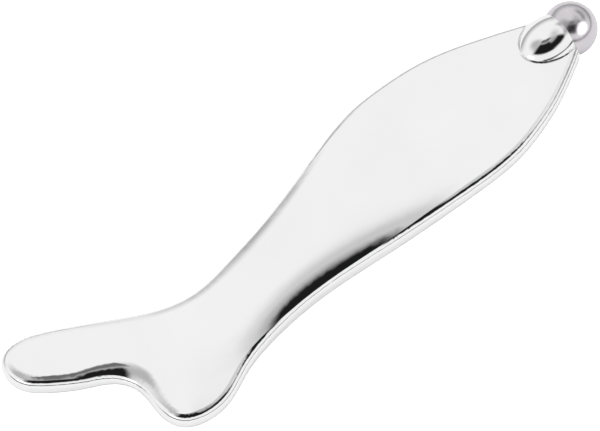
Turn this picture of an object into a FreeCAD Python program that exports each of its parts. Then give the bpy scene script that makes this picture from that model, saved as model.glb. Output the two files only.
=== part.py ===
import FreeCAD, Part
import math
import os

V = FreeCAD.Vector
MID_PLANE = V(0, 0, 0)
AXIS_X = V(1, 0, 0)

# Overall sizes, mm. The scraper lies flat: +X runs to the roller ball, +Z is up.
overall_length = 136.8      # tail tip to the front of the ball
plate_width = 35.0          # belly of the head to the low tail lobe, along Y
plate_thickness = 4.3       # between the two flat faces of the head
edge_round_most = 1.7       # radius of the polished edge, nearly a full round
notch_sink = 1.2            # depth of the notch's rim below the flat face, about

# The roller ball, a stock size, and the parts behind it.
ball_diameter = 11.0
magnet_diameter = 6.0       # stock disc magnet
magnet_length = 4.0
magnet_pull_gap = 0.75      # from the back of the ball to the face of the magnet

# The socket that stands out of the plate, a truncated egg about the ball's axis.
socket_inset = 0.1          # how much smaller than the ball the socket is, radius
mouth_share = 0.55          # of the ball's radius that the mouth plane lies behind its centre
nose_wall = 1.2             # metal left round the magnet's inner end
crease_fillet = 0.5         # where the socket meets the plate's flat faces
mouth_fillet = 0.12

# The seat the ball turns in.
seat_share = 0.745          # seat radius as a share of the ball's radius
seat_hole_share = 0.3
seat_land = 0.25            # flat ring left at the front of the seat

# Fits, mm per side.
ball_running = 0.03         # ball in its seat
ball_to_mouth = 0.12        # ball to the metal of the mouth
seat_running = 0.05         # seat in its bore, and behind it
magnet_glue = 0.05          # adhesive round the magnet

ball_radius = ball_diameter / 2

# The plate's rim seen from above, measured from the ball's centre, anticlockwise
# from the tip of the high tail lobe.
RIM = [
    # high tail lobe, its underside and the notch
    (-131.3, 7.8), (-130.2, 3.7), (-126.6, 0.4), (-121.0, -3.1), (-116.0, -6.2),
    (-114.0, -10.2), (-114.0, -15.6),
    # low tail lobe
    (-112.6, -20.0), (-108.0, -22.4), (-102.0, -22.0), (-96.0, -19.3),
    # near side of the handle
    (-88.0, -17.0), (-80.0, -15.9), (-70.0, -15.7), (-60.0, -16.2), (-50.0, -16.6),
    # near side of the head, down to the socket
    (-40.0, -16.8), (-32.0, -16.7), (-26.0, -16.0), (-20.0, -14.4), (-14.0, -12.2),
    (-8.0, -9.2), (-0.545 * ball_radius, -1.145 * ball_radius),
    # inside the socket, cut away later, and drawn by the ball's size
    (-0.073 * ball_radius, -0.727 * ball_radius), (0.091 * ball_radius, -0.073 * ball_radius),
    (-0.145 * ball_radius, 0.582 * ball_radius), (-0.582 * ball_radius, 0.909 * ball_radius),
    # far side of the head
    (-1.036 * ball_radius, 1.036 * ball_radius), (-10.0, 7.1), (-16.0, 9.1), (-22.0, 10.9),
    (-30.0, 12.4), (-38.0, 12.7), (-46.0, 12.1),
    # far side of the handle
    (-56.0, 9.4), (-66.0, 5.9), (-76.0, 2.8), (-86.0, 0.5), (-94.0, -0.6), (-101.0, 0.7),
    # back to the high tail lobe
    (-108.0, 4.0), (-115.0, 7.7), (-121.0, 10.7), (-126.0, 12.1), (-129.7, 11.2),
]
RIM_STEPS = 120             # points the smooth rim is rebuilt from

# How the handle and the tail are crowned, at stations along X. Ridge and edge are
# heights, 1 at the head's flat face and 0 a crown unit below it; reach is how far in
# from the rim the crown falls, mm. The head, ahead of the last station, is flat.
CROWN = [
    # X, ridge, edge, reach
    (-140.0, 1.25, 0.86, 3.8),
    (-122.0, 1.27, 0.86, 4.2),
    (-108.0, 1.42, 0.86, 6.2),
    (-92.0, 1.72, 0.86, 8.0),
    (-76.0, 1.84, 0.86, 8.3),
    (-62.0, 1.70, 0.88, 8.0),
    (-50.0, 1.34, 0.93, 7.4),
    (-40.0, 1.06, 0.99, 6.0),
    (-33.0, 1.0, 1.0, 5.0),
]
crown_unit = 2.15           # mm
crown_power = 3.2           # how much of the fall is near the rim
notch_place = (-114.5, -9.0)
notch_fall = 0.42           # the extra fall into the notch, crown units
notch_spread = 5.0
lobe_place = (-100.0, -22.5)
lobe_share = 0.95           # height of the low lobe, which is flat at its tip
lobe_spread = 8.5
crown_grid = 2.0            # spacing of the crown's control points

magnet_radius = magnet_diameter / 2
half_thickness = plate_thickness / 2
edge_round = min(edge_round_most, 1.8 * (half_thickness - notch_sink))
socket_radius = ball_radius - socket_inset
mouth_x = -mouth_share * ball_radius
seat_radius = seat_share * ball_radius
seat_bore_radius = seat_radius + seat_running
magnet_bore_radius = magnet_radius + magnet_glue
magnet_front_x = -ball_radius - magnet_pull_gap
magnet_back_x = magnet_front_x - magnet_length
seat_back_x = magnet_front_x + seat_running

# The egg's half length, so that its skin clears the magnet's far corner by the wall.
corner_share = (magnet_bore_radius + nose_wall) / socket_radius
nose_length = max((-ball_radius - magnet_back_x) / math.sqrt(1 - corner_share ** 2),
                  1.25 * socket_radius)


def one_solid(shape):
    solids = shape.Solids
    if len(solids) != 1:
        raise ValueError("expected one solid, got %d" % len(solids))
    return solids[0]


def closed_spline(points):
    curve = Part.BSplineCurve()
    curve.interpolate(Points=points, PeriodicFlag=True)
    return curve


def fitted_rim():
    """The rim table stretched to the overall sizes."""
    drawn = closed_spline([V(x, y, 0) for x, y in RIM]).toShape().discretize(Number=RIM_STEPS + 1)
    tail_x = min(p.x for p in drawn)
    width = max(p.y for p in drawn) - min(p.y for p in drawn)
    stretch_x = (overall_length - ball_radius) / -tail_x
    stretch_y = plate_width / width
    rim = closed_spline([V(p.x * stretch_x, p.y * stretch_y, 0) for p in drawn[:-1]])
    return rim, stretch_x, stretch_y


def station(x, column):
    """One column of the crown table at x, joined smoothly from row to row."""
    if x >= CROWN[-1][0]:
        return CROWN[-1][column]
    last = len(CROWN) - 1
    low = max(i for i in range(last) if CROWN[i][0] <= x or i == 0)

    def slope(i):
        if i in (0, last):
            return 0.0
        return ((CROWN[i + 1][column] - CROWN[i - 1][column])
                / (CROWN[i + 1][0] - CROWN[i - 1][0]))

    span = CROWN[low + 1][0] - CROWN[low][0]
    t = min(max((x - CROWN[low][0]) / span, 0.0), 1.0)
    return ((2 * t ** 3 - 3 * t ** 2 + 1) * CROWN[low][column]
            + (t ** 3 - 2 * t ** 2 + t) * span * slope(low)
            + (3 * t ** 2 - 2 * t ** 3) * CROWN[low + 1][column]
            + (t ** 3 - t ** 2) * span * slope(low + 1))


def crown_surface(rim, stretch_x, stretch_y):
    """The handle's and tail's upper skin, from the tail to where the flat head begins."""
    low_x, high_x = CROWN[0][0] * stretch_x, CROWN[-1][0] * stretch_x
    low_y, high_y = -0.8 * plate_width, 0.5 * plate_width
    outline = rim.toShape().discretize(Number=8 * RIM_STEPS)
    inside = Part.Face(Part.Wire([rim.toShape()]))

    def depth(x, y):
        """How far (x, y) lies inside the rim, less than nothing outside it."""
        point = V(x, y, 0)
        gap = min(math.hypot(p.x - x, p.y - y) for p in outline)
        return gap if inside.isInside(point, 1e-6, True) else -gap

    def height(x, y):
        table_x = x / stretch_x
        ridge, edge, reach = (station(table_x, c) for c in (1, 2, 3))
        fall = max(1 - depth(x, y) / reach, 0.0)
        away = math.hypot(table_x - notch_place[0], y / stretch_y - notch_place[1])
        extra = notch_fall * math.exp(-0.5 * (away / notch_spread) ** 2)
        share = ridge - (ridge - edge) * fall ** crown_power - extra * fall ** 2
        away = math.hypot(table_x - lobe_place[0], y / stretch_y - lobe_place[1])
        flatness = math.exp(-0.5 * (away / lobe_spread) ** 2)
        share += (lobe_share - share) * flatness
        return half_thickness + crown_unit * (share - 1)

    def control_places(low, high):
        """Where control points go, so that places along the skin run evenly."""
        spans = round((high - low) / crown_grid)
        knots = [low] * 3 + [low + (high - low) * i / spans for i in range(spans + 1)] + [high] * 3
        return spans, [sum(knots[i + 1:i + 4]) / 3 for i in range(spans + 3)]

    spans_x, places_x = control_places(low_x, high_x)
    spans_y, places_y = control_places(low_y, high_y)
    poles = [[V(x, y, height(x, y)) for y in places_y] for x in places_x]
    skin = Part.BSplineSurface()
    skin.buildFromPolesMultsKnots(
        poles,
        [4] + [1] * (spans_x - 1) + [4], [4] + [1] * (spans_y - 1) + [4],
        list(range(spans_x + 1)), list(range(spans_y + 1)),
        False, False, 3, 3)
    return skin


def make_plate():
    """The rim's outline, trimmed above and below by the flat head and the crown."""
    rim, stretch_x, stretch_y = fitted_rim()
    skin = crown_surface(rim, stretch_x, stretch_y).toShape()
    tall = 5 * plate_thickness
    blank = Part.Face(Part.Wire([rim.toShape()])).extrude(V(0, 0, 2 * tall))
    blank.translate(V(0, 0, -tall))
    above = skin.extrude(V(0, 0, 2 * tall))
    head_x = CROWN[-1][0] * stretch_x
    flat = Part.makeBox(-head_x + 2 * ball_diameter, 2 * plate_width, 2 * tall,
                        V(head_x, -plate_width, half_thickness))
    for cutter in (above, flat):
        blank = blank.cut(cutter)
        blank = blank.cut(cutter.mirror(MID_PLANE, V(0, 0, 1)))
    plate = one_solid(blank)
    return plate.makeFillet(edge_round, [e for e in plate.Edges if is_rim_corner(e)])


def is_rim_corner(edge):
    """A curved edge between the plate's upright side and its upper or lower skin."""
    return edge.Curve.TypeId != "Part::GeomLine"


def turned(outline):
    """A solid turned about the ball's axis from (x, radius) corners."""
    corners = [V(x, r, 0) for x, r in outline]
    face = Part.Face(Part.makePolygon(corners + corners[:1]))
    return face.revolve(MID_PLANE, AXIS_X, 360)


def make_egg():
    """The socket before it's cut open: an egg about the ball's axis."""
    outline = Part.Ellipse(V(-ball_radius, 0, 0), nose_length, socket_radius)
    skin = Part.Arc(outline, 0, math.pi).toShape()
    front = skin.valueAt(skin.FirstParameter)
    nose = skin.valueAt(skin.LastParameter)
    profile = Part.Wire([skin, Part.makeLine(nose, front)])
    return Part.Face(profile).revolve(MID_PLANE, AXIS_X, 360)


def make_bores():
    """The seat's bore and, behind it, the magnet's."""
    front_x = -0.5 * ball_radius
    return turned([(magnet_back_x, 0), (front_x, 0), (front_x, seat_bore_radius),
                   (magnet_front_x, seat_bore_radius),
                   (magnet_front_x, magnet_bore_radius),
                   (magnet_back_x, magnet_bore_radius)])


def is_crease(edge):
    """An edge where the egg's skin leaves one of the plate's flat faces."""
    box = edge.BoundBox
    flat = box.ZMax - box.ZMin < 0.01 and abs(abs(box.ZMax) - half_thickness) < 0.01
    runs_back = box.XMin < mouth_x - 0.5 * nose_length
    return flat and runs_back and box.XMin > -1.05 * (ball_radius + nose_length)


def is_lip(edge):
    """One of the two arcs of the mouth's outer corner, above or below the plate."""
    box = edge.BoundBox
    on_mouth = box.XMax - box.XMin < 0.02 and abs(box.XMax - mouth_x) < 0.02
    return on_mouth and abs(box.ZMax + box.ZMin) > half_thickness and edge.Length > half_thickness


def make_body():
    body = make_plate().fuse(make_egg())
    reach = 4 * ball_diameter
    body = body.cut(Part.makeBox(reach, 2 * reach, 2 * reach, V(mouth_x, -reach, -reach)))
    body = body.makeFillet(crease_fillet, [e for e in body.Edges if is_crease(e)])
    body = body.makeFillet(mouth_fillet, [e for e in body.Edges if is_lip(e)])
    body = body.cut(Part.makeSphere(ball_radius + ball_to_mouth))
    return body.cut(make_bores())


def make_magnet():
    return Part.makeCylinder(magnet_radius, magnet_length, V(magnet_back_x, 0, 0), AXIS_X)


def make_seat():
    cup_radius = ball_radius + ball_running
    front_radius = seat_radius - seat_land
    seat_front_x = -math.sqrt(cup_radius ** 2 - front_radius ** 2)
    hole_radius = seat_hole_share * ball_radius
    ring = turned([(seat_back_x, hole_radius), (seat_front_x, hole_radius),
                   (seat_front_x, seat_radius), (seat_back_x, seat_radius)])
    return ring.cut(Part.makeSphere(cup_radius))


def make_ball():
    return Part.makeSphere(ball_radius)


NODES = {
    "scraper_body": make_body,
    "magnet": make_magnet,
    "ball_seat": make_seat,
    "roller_ball": make_ball,
}

os.makedirs("parts", exist_ok=True)
shapes = {name: one_solid(make()) for name, make in NODES.items()}

# The frame: the middle of the whole thing's box in X and Y, and its lowest point.
box = shapes["scraper_body"].optimalBoundingBox(False)
centre_x = ball_radius - overall_length / 2
centre_y = (box.YMax + box.YMin) / 2
to_frame = V(-centre_x, -centre_y, ball_radius)
for name, shape in shapes.items():
    shape.translate(to_frame)
    if not shape.isValid():
        raise ValueError(name + " is not a valid solid")
    shape.exportStep("parts/" + name + ".step")
    print(name, "volume", round(shape.Volume, 1))
print("ball centre", [round(c, 4) for c in to_frame])
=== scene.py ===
import math
import bpy
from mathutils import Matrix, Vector


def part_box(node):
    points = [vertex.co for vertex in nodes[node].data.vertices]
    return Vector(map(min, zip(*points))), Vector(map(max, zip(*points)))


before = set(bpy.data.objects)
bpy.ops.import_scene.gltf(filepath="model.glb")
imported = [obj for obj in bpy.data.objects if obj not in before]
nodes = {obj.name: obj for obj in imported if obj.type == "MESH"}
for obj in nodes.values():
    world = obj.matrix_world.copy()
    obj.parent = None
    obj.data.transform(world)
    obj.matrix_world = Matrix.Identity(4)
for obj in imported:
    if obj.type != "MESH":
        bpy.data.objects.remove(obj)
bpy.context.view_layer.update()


# Scraper body: a fish-shaped handle cast in zinc alloy in one piece with its ball socket.
# It is trimmed, buffed lengthwise on a wheel until every edge is round, then plated with
# bright nickel and a flash of chrome, which takes on the whole surface evenly.

PLATING_LIGHT, PLATING_GREY = "#F7F7F7", "#F0F0F0"
PLATING_ROUGHNESS = 0.035
PLATING_HAZE = (0.75, 1.3)  # shares of that roughness, clear and clouded
CLOUD_MM = 14.0             # soft clouds left by buffing
HAIRLINE_MM = (45.0, 0.4)   # buffing lines, along the handle and across it
HAIRLINE_DEPTH = 0.25       # how much of the roughness they vary
ORANGE_PEEL_MM = 3.0        # the plating's faint waviness
ORANGE_PEEL_HEIGHT_MM = 0.001


def linear(code):
    """An sRGB hex colour as linear RGBA."""
    parts = [int(code[i:i + 2], 16) / 255 for i in (1, 3, 5)]
    return [c / 12.92 if c <= 0.04045 else ((c + 0.055) / 1.055) ** 2.4 for c in parts] + [1.0]


def per_metre(size_mm):
    """The texture scale whose pattern repeats at about this size."""
    return 1000.0 / size_mm


def add(tree, kind, inputs=None, **settings):
    """Adds a node; inputs gives each socket a value, or another node's output to read."""
    made = tree.nodes.new(kind)
    for name, value in settings.items():
        setattr(made, name, value)
    for name, value in (inputs or {}).items():
        if isinstance(value, bpy.types.NodeSocket):
            tree.links.new(value, made.inputs[name])
        else:
            made.inputs[name].default_value = value
    return made


def new_material(name):
    """An empty node material."""
    made = bpy.data.materials.new(name)
    made.use_nodes = True
    made.node_tree.nodes.clear()
    return made


def between(tree, factor, dark, light):
    """A colour that runs from dark to light with the factor."""
    mix = add(tree, "ShaderNodeMix", {"Factor": factor}, data_type="RGBA")
    ends = [s for s in mix.inputs if s.type == "RGBA"]
    ends[0].default_value, ends[1].default_value = linear(dark), linear(light)
    return next(s for s in mix.outputs if s.type == "RGBA")


def spread(tree, factor, least, most):
    """A noise's values, nearly all of which lie from 0.3 to 0.7, spread from least to most."""
    made = add(tree, "ShaderNodeMapRange", {"Value": factor, "From Min": 0.3, "From Max": 0.7,
                                            "To Min": least, "To Max": most})
    return made.outputs["Result"]


def wear(node_name, material):
    """Puts a material in every slot of a frame node."""
    for place in nodes[node_name].material_slots:
        place.material = material


# Bright plating over buffed zinc: a mirror, softened a little in clouds where the wheel
# dwelt and crossed by hairlines, so that dark shapes in it have a slightly drawn-out edge.
plating = new_material("bright_chrome_over_buffed_zinc")
tree = plating.node_tree
where = add(tree, "ShaderNodeTexCoord").outputs["Object"]
clouds = add(tree, "ShaderNodeTexNoise", {"Vector": where, "Scale": per_metre(CLOUD_MM),
                                          "Detail": 3.0, "Roughness": 0.45}).outputs["Fac"]
along, across = (per_metre(size) for size in HAIRLINE_MM)
drawn = add(tree, "ShaderNodeMapping", {"Vector": where, "Scale": (along, across, across)})
hairlines = add(tree, "ShaderNodeTexNoise", {"Vector": drawn.outputs["Vector"], "Scale": 1.0,
                                             "Detail": 4.0, "Roughness": 0.6}).outputs["Fac"]
haze = spread(tree, clouds, *(PLATING_ROUGHNESS * share for share in PLATING_HAZE))
lines = spread(tree, hairlines, 1 - HAIRLINE_DEPTH, 1 + HAIRLINE_DEPTH)
haze = add(tree, "ShaderNodeMath", {0: haze, 1: lines}, operation="MULTIPLY")
peel = add(tree, "ShaderNodeTexNoise", {"Vector": where, "Scale": per_metre(ORANGE_PEEL_MM),
                                        "Detail": 2.0}).outputs["Fac"]
waves = add(tree, "ShaderNodeBump", {"Height": peel, "Strength": 1.0,
                                     "Distance": ORANGE_PEEL_HEIGHT_MM / 1000})
shader = add(tree, "ShaderNodeBsdfPrincipled", {
    "Base Color": between(tree, clouds, PLATING_GREY, PLATING_LIGHT),
    "Roughness": haze.outputs[0], "Metallic": 1.0, "Normal": waves.outputs["Normal"]})
add(tree, "ShaderNodeOutputMaterial", {"Surface": shader.outputs["BSDF"]})
wear("scraper_body", plating)


# Roller ball: an 11 mm bearing ball in through-hardened chrome steel, ground and lapped.
# It rests in the mouth of the socket, held to its seat by the magnet behind, and rolls.

STEEL_LIGHT, STEEL_DARK = "#DCD8DD", "#CDC9CE"
BALL_ROUGHNESS = 0.21
BALL_PATCHES = (0.85, 1.15)  # shares of that roughness, patch by patch
LAPPING_MM = 2.2            # patches left by the lapping plates
SCRATCH_MM = 0.25
SCRATCH_HEIGHT_MM = 0.0002

# Lapped steel: greyer and softer than the plating beside it, with a faint mauve cast. Its
# reflections have blurred edges and its highlight a soft rim.
lapped = new_material("bearing_steel_ground_and_lapped")
tree = lapped.node_tree
where = add(tree, "ShaderNodeTexCoord").outputs["Object"]
patches = add(tree, "ShaderNodeTexNoise", {"Vector": where, "Scale": per_metre(LAPPING_MM),
                                           "Detail": 5.0, "Roughness": 0.6}).outputs["Fac"]
scratches = add(tree, "ShaderNodeTexNoise", {"Vector": where, "Scale": per_metre(SCRATCH_MM),
                                             "Detail": 3.0, "Distortion": 1.5}).outputs["Fac"]
marks = add(tree, "ShaderNodeBump", {"Height": scratches, "Strength": 1.0,
                                     "Distance": SCRATCH_HEIGHT_MM / 1000})
shader = add(tree, "ShaderNodeBsdfPrincipled", {
    "Base Color": between(tree, patches, STEEL_DARK, STEEL_LIGHT),
    "Roughness": spread(tree, patches, *(BALL_ROUGHNESS * share for share in BALL_PATCHES)),
    "Metallic": 1.0, "Normal": marks.outputs["Normal"]})
add(tree, "ShaderNodeOutputMaterial", {"Surface": shader.outputs["BSDF"]})
wear("roller_ball", lapped)


# Ball seat: a small cup turned from white acetal rod and dropped into its bore behind the
# ball. Only a hairline of it could ever be seen, between the ball and the mouth.

ACETAL_LIGHT, ACETAL_DARK = "#EDEDE8", "#E2E2DB"
RING_MM = 0.754             # pitch of the rings left by the lathe tool
RING_DEPTH_MM = 0.005
WAVE_RADIANS = 20           # how fast the wave texture turns at a scale of 1
MOTTLE_MM = 1.5
WAXY_ROUGHNESS = (0.32, 0.45)
GLOW_DEPTH_M = (0.001, 0.001, 0.0009)  # how far red, green and blue light soak in

# Turned acetal: milky and waxy, with fine rings that break its sheen into bands.
acetal = new_material("natural_acetal_turned")
tree = acetal.node_tree
where = add(tree, "ShaderNodeTexCoord").outputs["Object"]
rings = add(tree, "ShaderNodeTexWave", {
    "Vector": where, "Scale": per_metre(RING_MM) * math.tau / WAVE_RADIANS,
    "Distortion": 0.4, "Detail": 1.0}, wave_type="BANDS", bands_direction="X").outputs["Fac"]
mottle = add(tree, "ShaderNodeTexNoise", {"Vector": where, "Scale": per_metre(MOTTLE_MM),
                                          "Detail": 3.0}).outputs["Fac"]
grooves = add(tree, "ShaderNodeBump", {"Height": rings, "Strength": 0.4,
                                       "Distance": RING_DEPTH_MM / 1000})
shader = add(tree, "ShaderNodeBsdfPrincipled", {
    "Base Color": between(tree, mottle, ACETAL_DARK, ACETAL_LIGHT),
    "Roughness": spread(tree, mottle, *WAXY_ROUGHNESS), "Subsurface Weight": 0.15,
    "Subsurface Radius": GLOW_DEPTH_M, "Normal": grooves.outputs["Normal"]})
add(tree, "ShaderNodeOutputMaterial", {"Surface": shader.outputs["BSDF"]})
wear("ball_seat", acetal)


# Magnet: a stock neodymium disc, nickel plated, glued into the socket's inner bore. It is
# shut in by the body and the seat, and shows only when the part is taken apart.

NICKEL_LIGHT, NICKEL_DARK = "#D8D5CC", "#BDB9AE"
NICKEL_GRAIN_MM = 0.3
NICKEL_ROUGHNESS = (0.22, 0.38)
KNOCK_MM, KNOCK_DEPTH_MM = 0.8, 0.01  # dents from tumbling

# Barrel-plated nickel: yellowish and dull, speckled by tumbling against other magnets.
nickel = new_material("barrel_plated_nickel")
tree = nickel.node_tree
where = add(tree, "ShaderNodeTexCoord").outputs["Object"]
grain = add(tree, "ShaderNodeTexNoise", {"Vector": where, "Scale": per_metre(NICKEL_GRAIN_MM),
                                         "Detail": 6.0, "Roughness": 0.65}).outputs["Fac"]
dents = add(tree, "ShaderNodeTexVoronoi", {"Vector": where, "Scale": per_metre(KNOCK_MM)},
            feature="SMOOTH_F1").outputs["Distance"]
knocks = add(tree, "ShaderNodeBump", {"Height": dents, "Strength": 0.5,
                                      "Distance": KNOCK_DEPTH_MM / 1000})
shader = add(tree, "ShaderNodeBsdfPrincipled", {
    "Base Color": between(tree, grain, NICKEL_DARK, NICKEL_LIGHT),
    "Roughness": spread(tree, grain, *NICKEL_ROUGHNESS), "Metallic": 1.0,
    "Normal": knocks.outputs["Normal"]})
add(tree, "ShaderNodeOutputMaterial", {"Surface": shader.outputs["BSDF"]})
wear("magnet", nickel)


# Studio: a white table under a wide lamp, in a pale room with dark cloth hung behind
# the camera. The table is two sheets, because a polished part shows the board's own
# pale grey where the eye sees only glare.

TABLE_HALF = 2.0            # metres, as are the lamps' sizes and distances
SEEN_HEIGHT, MIRRORED_HEIGHT = -0.0002, -0.0001
BOARD_WHITE, BOARD_GREY = "#FDFDFD", "#EBEBEB"
TABLE_GLOW = 1.0            # the white sheet is lit from beneath, so shadows wash out
ROOM_LIGHT = 0.97           # the bare walls and ceiling
LAMP_W, LAMP_SIZE, LAMP_HEIGHT = 15.0, 1.2, 1.5
BALL_LAMP_W, BALL_LAMP_SIZE = 0.72, (0.46, 0.36)
BALL_LAMP_TOWARD, BALL_LAMP_AWAY = (32, 36), 0.5
CAMERA_AIM = Vector((-0.00497, 0.00535, 0.0055))
CAMERA_TOWARD, CAMERA_AWAY = (-39, 60), 0.55
LENS_MM, SENSOR_MM = 174.47, 36.0
NEAREST, FARTHEST = 0.01, 20.0

scene = bpy.context.scene
low, high = (Vector(c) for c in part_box("scraper_body"))
middle = (low + high) / 2


def toward(azimuth, elevation):
    """The direction from the part at these angles in degrees, azimuth 0 along -Y."""
    a, e = math.radians(azimuth), math.radians(elevation)
    return Vector((math.sin(a) * math.cos(e), -math.cos(a) * math.cos(e), math.sin(e)))


def lay_sheet(name, height, colour, glow):
    """A level sheet of matt board, lit from beneath by its glow."""
    mesh = bpy.data.meshes.new(name)
    mesh.from_pydata([(x * TABLE_HALF, y * TABLE_HALF, height) for x, y in
                      ((-1, -1), (1, -1), (1, 1), (-1, 1))], [], [(0, 1, 2, 3)])
    board = new_material(name + "_matt_board")
    tree = board.node_tree
    shader = add(tree, "ShaderNodeBsdfPrincipled", {
        "Base Color": linear(colour), "Roughness": 0.9, "Specular IOR Level": 0.0,
        "Emission Color": (1, 1, 1, 1), "Emission Strength": glow})
    add(tree, "ShaderNodeOutputMaterial", {"Surface": shader.outputs["BSDF"]})
    mesh.materials.append(board)
    made = bpy.data.objects.new(name, mesh)
    scene.collection.objects.link(made)
    return made


seen = lay_sheet("table_seen", SEEN_HEIGHT, BOARD_WHITE, TABLE_GLOW)
seen.visible_glossy = False
mirrored = lay_sheet("table_mirrored", MIRRORED_HEIGHT, BOARD_GREY, 0.0)
mirrored.visible_camera = mirrored.visible_diffuse = mirrored.visible_shadow = False

# What stands round the part, in degrees: the azimuth and elevation of the middle of each
# thing, how far it reaches each way, how wide its soft edge is, and how bright it is.
# Each is laid over the ones before it.
ROOM = [
    # azimuth, reach, soft, elevation, reach, soft, brightness
    (-105, 38, 40, 63, 16, 24, 0.50),      # grey ceiling to the left
    (70, 40, 56, 68, 10, 22, 0.62),        # grey ceiling to the right
    (-10, 66, 34, 62, 15, 24, 0.40),       # veil over the dark cloth
    (-20, 80, 30, 82, 6, 7, 0.16),         # the cloth's upper end, overhead
    (-32, 42, 22, 54, 19, 10, 0.012),      # dark cloth behind the camera
    (20, 40, 20, 50, 12, 10, 0.012),       # its lower half to the right
    (92, 30, 24, 37, 8, 12, 0.34),         # grey wall to the right
    (150, 75, 40, 4, 14, 30, 0.45),        # foot of the far wall
    (-75, 14, 12, 20, 5, 6, 1.7),          # small lamp to the left
    (30, 90, 40, 3, 3.5, 4, 0.20),         # the table's far edge and the floor behind it
    (-60, 50, 30, 3.5, 5, 5, 0.02),        # the same, darker to the left
]

world = bpy.data.worlds.new("pale_room")
world.use_nodes = True
tree = world.node_tree
tree.nodes.clear()
look = add(tree, "ShaderNodeTexCoord").outputs["Generated"]
axes = add(tree, "ShaderNodeSeparateXYZ", {"Vector": look})
near = add(tree, "ShaderNodeMath", {0: axes.outputs["Y"], 1: -1.0}, operation="MULTIPLY")
around = add(tree, "ShaderNodeMath", {0: axes.outputs["X"], 1: near.outputs[0]},
             operation="ARCTAN2")
above = add(tree, "ShaderNodeMath", {0: axes.outputs["Z"]}, operation="ARCSINE")


def cover(tree, angle, centre, reach, soft):
    """1 within reach of the centre, falling to 0 across the soft edge; degrees."""
    off = add(tree, "ShaderNodeMath", {0: angle, 1: math.radians(centre)}, operation="SUBTRACT")
    off = add(tree, "ShaderNodeMath", {0: off.outputs[0], 1: math.pi, 2: -math.pi},
              operation="WRAP")
    off = add(tree, "ShaderNodeMath", {0: off.outputs[0]}, operation="ABSOLUTE")
    edge = add(tree, "ShaderNodeMapRange",
               {"Value": off.outputs[0], "From Min": math.radians(reach - soft / 2),
                "From Max": math.radians(reach + soft / 2), "To Min": 1.0, "To Max": 0.0},
               interpolation_type="SMOOTHSTEP")
    return edge.outputs["Result"]


glow = None
for azimuth, wide, soft_wide, elevation, tall, soft_tall, brightness in ROOM:
    shape = add(tree, "ShaderNodeMath",
                {0: cover(tree, around.outputs[0], azimuth, wide, soft_wide),
                 1: cover(tree, above.outputs[0], elevation, tall, soft_tall)},
                operation="MULTIPLY")
    mix = add(tree, "ShaderNodeMix", {"Factor": shape.outputs[0]}, data_type="FLOAT")
    mix.inputs["B"].default_value = brightness
    if glow is None:
        mix.inputs["A"].default_value = ROOM_LIGHT
    else:
        tree.links.new(glow, mix.inputs["A"])
    glow = mix.outputs["Result"]
room = add(tree, "ShaderNodeBackground", {"Color": (1, 1, 1, 1), "Strength": glow})
add(tree, "ShaderNodeOutputWorld", {"Surface": room.outputs["Background"]})
scene.world = world
scene.view_settings.view_transform = "Standard"


def hang_lamp(name, place, shape, size, watts):
    """A soft lamp aimed at the part."""
    lamp = bpy.data.lights.new(name, "AREA")
    lamp.shape = shape
    lamp.size, lamp.size_y = size
    lamp.energy = watts
    made = bpy.data.objects.new(name, lamp)
    scene.collection.objects.link(made)
    made.location = middle + place
    made.rotation_mode = "QUATERNION"
    made.rotation_quaternion = place.to_track_quat("Z", "Y")
    made.visible_camera = False
    return made


top_lamp = hang_lamp("top_lamp", Vector((0, 0, LAMP_HEIGHT)), "SQUARE",
                     (LAMP_SIZE, LAMP_SIZE), LAMP_W)
top_lamp.visible_glossy = False

# A small softbox lights the ball alone and gives it its highlight.
ball_lamp = hang_lamp("ball_lamp", toward(*BALL_LAMP_TOWARD) * BALL_LAMP_AWAY, "ELLIPSE",
                      BALL_LAMP_SIZE, BALL_LAMP_W)
ball_only = bpy.data.collections.new("lit_by_the_ball_lamp")
ball_only.objects.link(nodes["roller_ball"])
ball_lamp.light_linking.receiver_collection = ball_only

# The camera looks down at 60 degrees from the near left, with a long lens.
lens = bpy.data.cameras.new("camera")
lens.lens, lens.sensor_width = LENS_MM, SENSOR_MM
lens.clip_start, lens.clip_end = NEAREST, FARTHEST
camera = bpy.data.objects.new("camera", lens)
scene.collection.objects.link(camera)
back = toward(*CAMERA_TOWARD)
camera.location = CAMERA_AIM + back * CAMERA_AWAY
camera.rotation_mode = "QUATERNION"
camera.rotation_quaternion = (-back).to_track_quat("-Z", "Y")
scene.camera = camera
